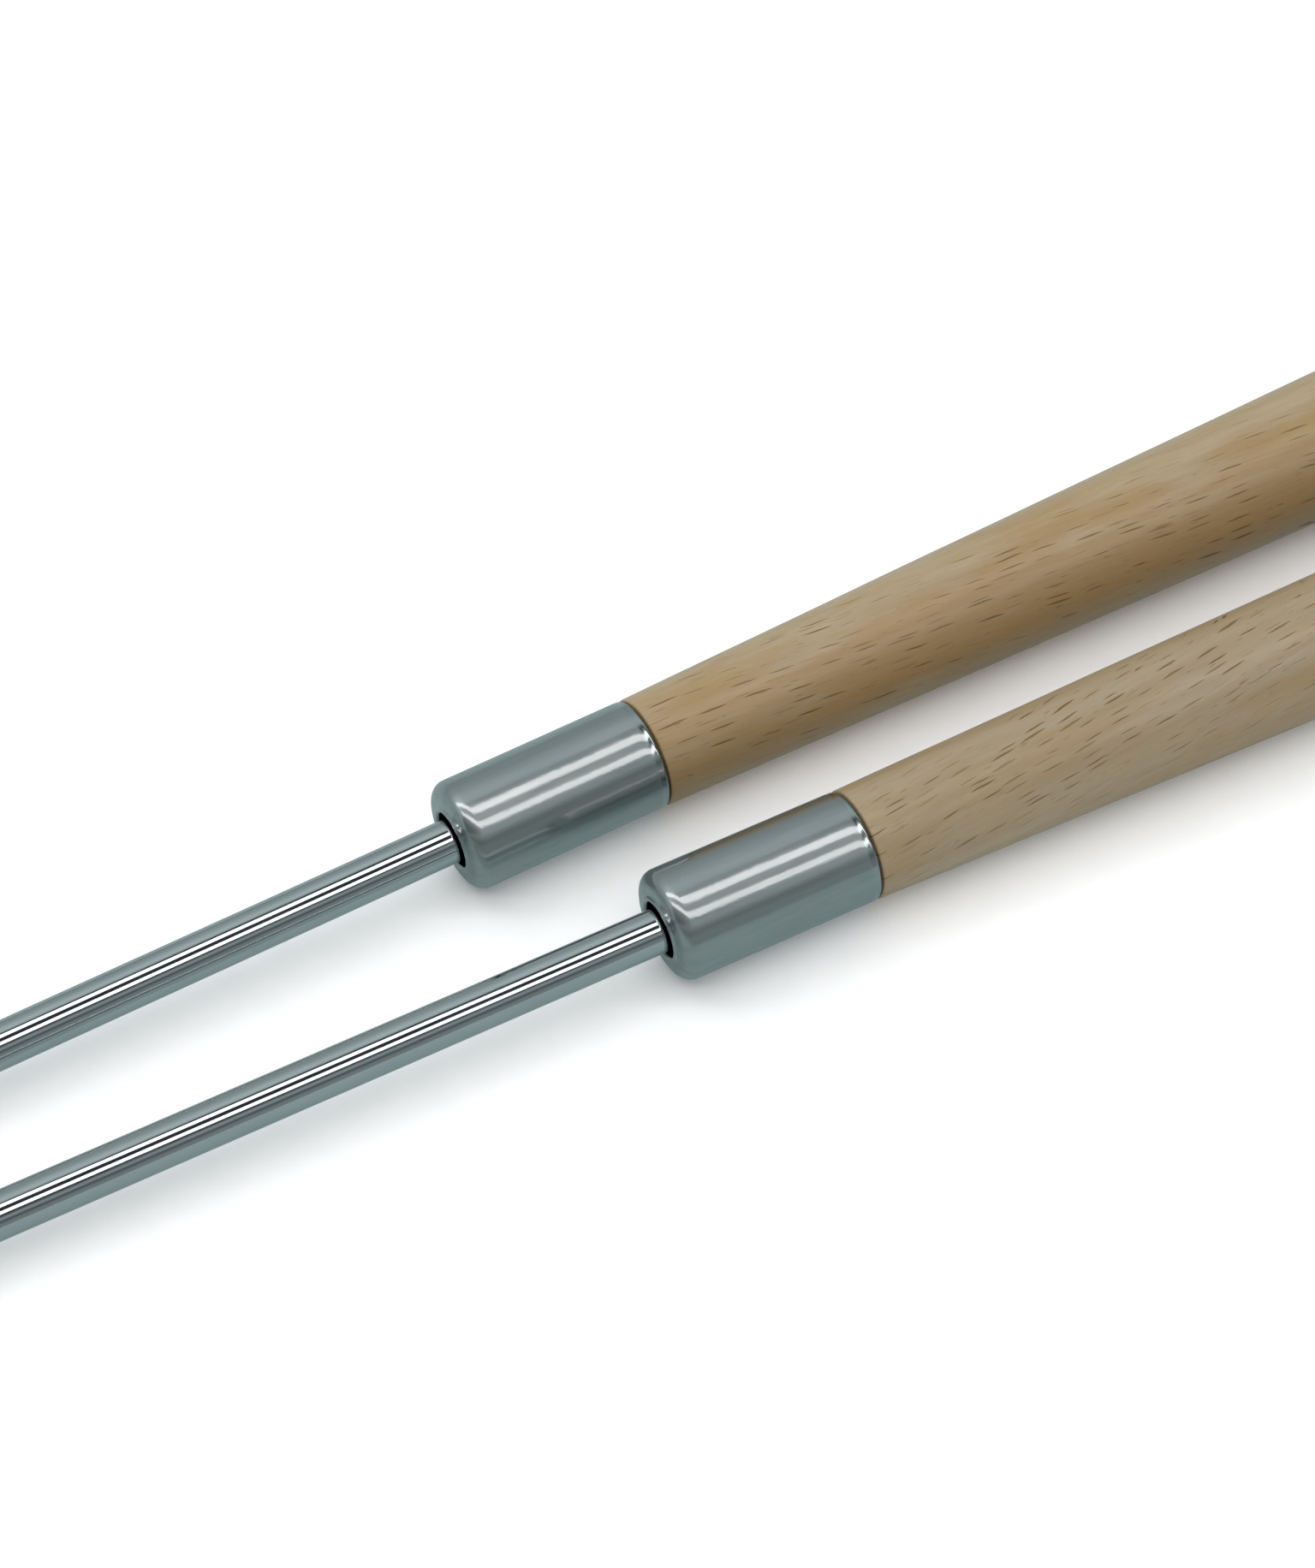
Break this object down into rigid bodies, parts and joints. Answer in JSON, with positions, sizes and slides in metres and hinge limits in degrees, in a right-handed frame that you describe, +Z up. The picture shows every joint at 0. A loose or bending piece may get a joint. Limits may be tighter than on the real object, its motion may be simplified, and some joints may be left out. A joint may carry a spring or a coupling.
{
  "type": "straight knitting needles",
  "caption": "Straight knitting needles: polished steel shafts with blunt points, satin steel ferrules and turned beech handles, lying side by side.",
  "frame": {"origin": "on the surface that both needles lie on, at the centre of the pair's outline seen from above", "axes": "+X runs from the points to the butts midway between the needles, +Y from needle b to needle a, +Z up"},
  "size_m": [0.3612, 0.0356, 0.014],
  "materials": {
    "polished_steel": "polished, with faint lines along the drawn rod",
    "satin_steel": "satin, brushed along the length",
    "beech": "pale beech, turned and sanded, thin matt finish"
  },
  "bodies": {
    "needle_a": {"needle_a_shaft": "polished_steel", "needle_a_ferrule": "satin_steel", "needle_a_handle": "beech"},
    "needle_b": {"needle_b_shaft": "polished_steel", "needle_b_ferrule": "satin_steel", "needle_b_handle": "beech"}
  },
  "joints": [
    {"name": "needle_b_lift", "type": "slide", "parent": "needle_a", "child": "needle_b", "axis": [0, 0, 1], "range_m": [0, 0.1]}
  ]
}
